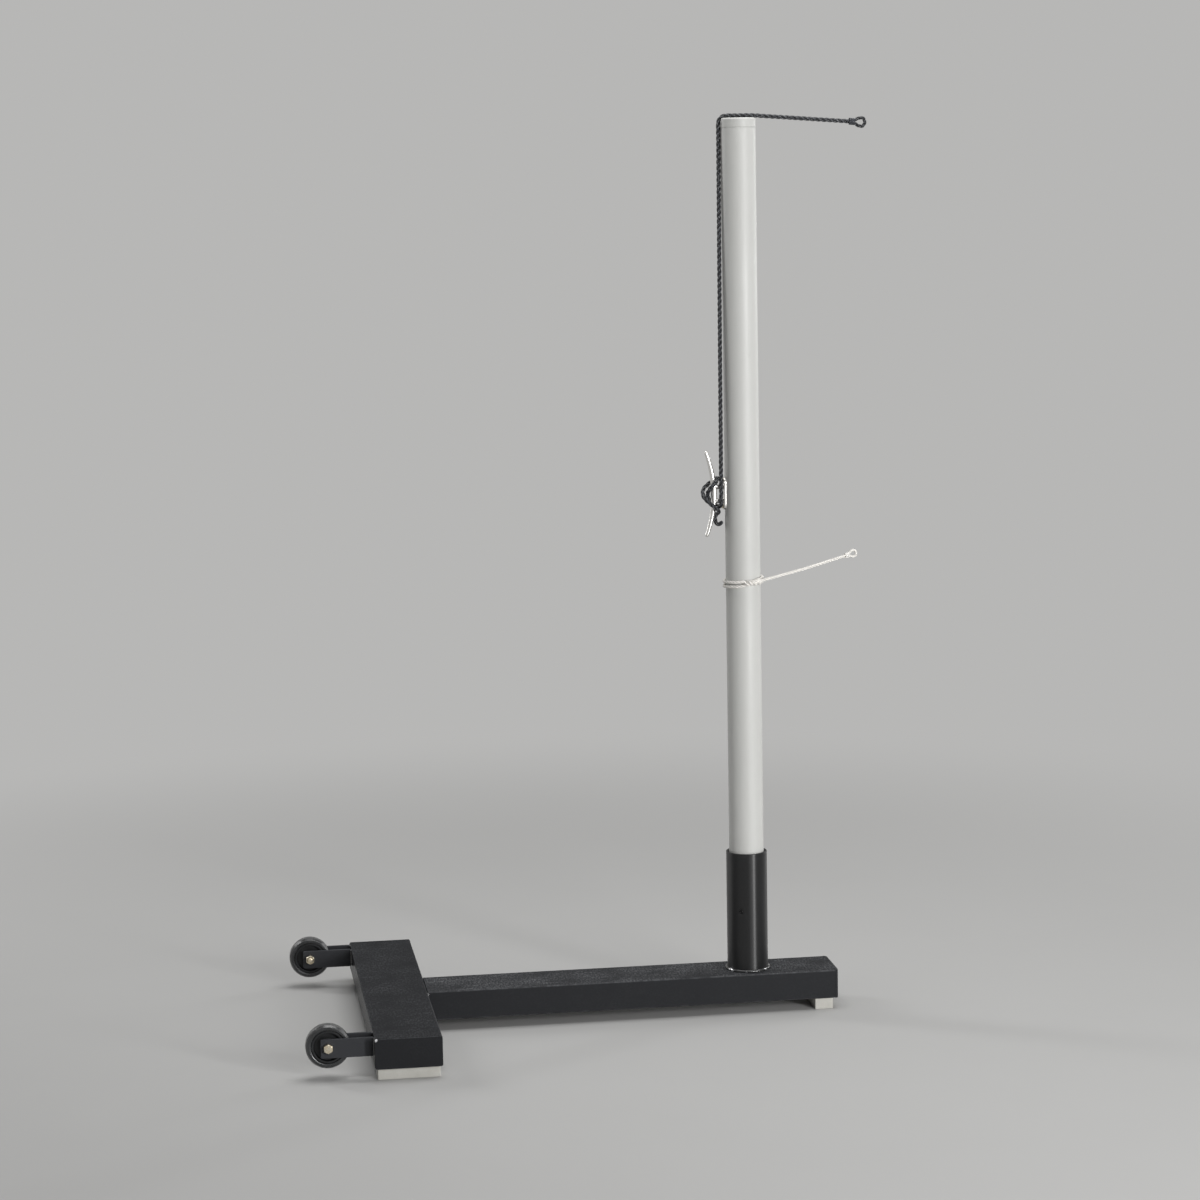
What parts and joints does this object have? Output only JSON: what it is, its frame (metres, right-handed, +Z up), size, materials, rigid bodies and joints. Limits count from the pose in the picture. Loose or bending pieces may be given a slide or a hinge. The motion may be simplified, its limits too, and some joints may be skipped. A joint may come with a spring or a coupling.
{
  "type": "badminton net post",
  "caption": "Portable badminton net post: grey tube in a weighted T-shaped steel base with two wheels, rope cleat, tension rope and tie cord.",
  "frame": {"origin": "on the floor under the middle of the base's length, on the beam's centre line", "axes": "+X along the beam, away from the wheels; +Y across the base; +Z up along the post"},
  "size_m": [1.0171, 0.66, 1.5575],
  "materials": {
    "base_paint": "satin",
    "post_paint": "satin",
    "pad_rubber": "matte",
    "wheel_rubber": "satin",
    "wheel_plastic": "satin",
    "zinc_steel": "satin",
    "raw_steel": "matte",
    "cast_aluminium": "polished",
    "dark_screw": "satin",
    "black_plastic": "matte",
    "black_rope": "satin",
    "white_cord": "matte"
  },
  "bodies": {
    "base": {"crossbar_tube": "base_paint", "crossbar_front_plate": "base_paint", "crossbar_rear_plate": "base_paint", "beam_tube": "base_paint", "beam_end_plate": "base_paint", "front_ballast_bar": "raw_steel", "rear_ballast_bar": "raw_steel", "beam_ballast_bar": "raw_steel", "front_pad": "pad_rubber", "rear_pad": "pad_rubber", "beam_pad": "pad_rubber", "front_pad_left_screw": "zinc_steel", "front_pad_right_screw": "zinc_steel", "rear_pad_left_screw": "zinc_steel", "rear_pad_right_screw": "zinc_steel", "beam_pad_left_screw": "zinc_steel", "beam_pad_right_screw": "zinc_steel", "front_wheel_front_arm": "base_paint", "front_wheel_rear_arm": "base_paint", "rear_wheel_front_arm": "base_paint", "rear_wheel_rear_arm": "base_paint", "front_wheel_bush": "zinc_steel", "front_axle_bolt": "zinc_steel", "front_lock_nut": "zinc_steel", "rear_wheel_bush": "zinc_steel", "rear_axle_bolt": "zinc_steel", "rear_lock_nut": "zinc_steel", "post_socket": "base_paint", "socket_weld_bead": "base_paint"},
    "front_wheel": {"front_wheel_tyre": "wheel_rubber", "front_wheel_core": "wheel_plastic"},
    "rear_wheel": {"rear_wheel_tyre": "wheel_rubber", "rear_wheel_core": "wheel_plastic"},
    "lock_screw": {"lock_screw": "dark_screw"},
    "post": {"post_tube": "post_paint", "post_cap": "post_paint", "post_foot_plug": "black_plastic", "cleat": "cast_aluminium", "cleat_upper_screw": "zinc_steel", "cleat_lower_screw": "zinc_steel", "rope_rise": "black_rope", "rope_top": "black_rope", "rope_winding": "black_rope", "rope_eye": "black_rope", "tie_cord_upper_turn": "white_cord", "tie_cord_lower_turn": "white_cord", "tie_cord_knot": "white_cord", "tie_cord_run": "white_cord", "tie_cord_eye": "white_cord"}
  },
  "joints": [
    {"name": "front_wheel_spin", "type": "hinge", "parent": "base", "child": "front_wheel", "pos_m": [-0.4359, -0.2953, 0.055], "axis": [0, 1, 0], "continuous": true},
    {"name": "rear_wheel_spin", "type": "hinge", "parent": "base", "child": "rear_wheel", "pos_m": [-0.4359, 0.2953, 0.055], "axis": [0, 1, 0], "continuous": true},
    {"name": "post_lift", "type": "slide", "parent": "base", "child": "post", "axis": [0, 0, 1], "range_m": [0, 0.2]},
    {"name": "lock_screw_travel", "type": "slide", "parent": "base", "child": "lock_screw", "axis": [-0.4664, -0.8846, 0], "range_m": [0, 0.004]}
  ]
}
